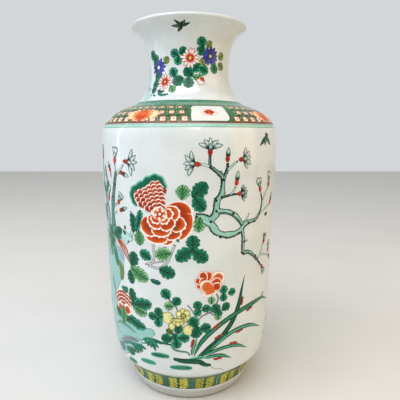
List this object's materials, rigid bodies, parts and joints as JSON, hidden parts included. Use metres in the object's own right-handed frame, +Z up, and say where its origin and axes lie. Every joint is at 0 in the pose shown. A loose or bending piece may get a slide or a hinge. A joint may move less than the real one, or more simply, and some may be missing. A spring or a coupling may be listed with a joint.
{
  "type": "vase",
  "caption": "Tall shouldered porcelain vase with a trumpet neck, painted in famille verte enamels, standing on a tapered foot ring.",
  "frame": {"origin": "centre of the foot ring at the level of the table", "axes": "+Z up along the vase's axis, -Y towards the painted front, +X to the viewer's right"},
  "size_m": [0.225, 0.225, 0.46],
  "materials": {
    "glazed_porcelain": "glossy clear glaze over white porcelain",
    "luting_slip": "matt fired slip",
    "overglaze_enamel": "translucent glossy enamels painted over the glaze"
  },
  "bodies": {
    "root": {"foot_ring": "glazed_porcelain", "base_slip": "luting_slip", "base_slab": "glazed_porcelain", "foot_slip": "luting_slip", "lower_body": "glazed_porcelain", "waist_slip": "luting_slip", "upper_body": "glazed_porcelain", "shoulder_slip": "luting_slip", "shoulder": "glazed_porcelain", "neck_slip": "luting_slip", "neck": "glazed_porcelain"}
  },
  "joints": []
}
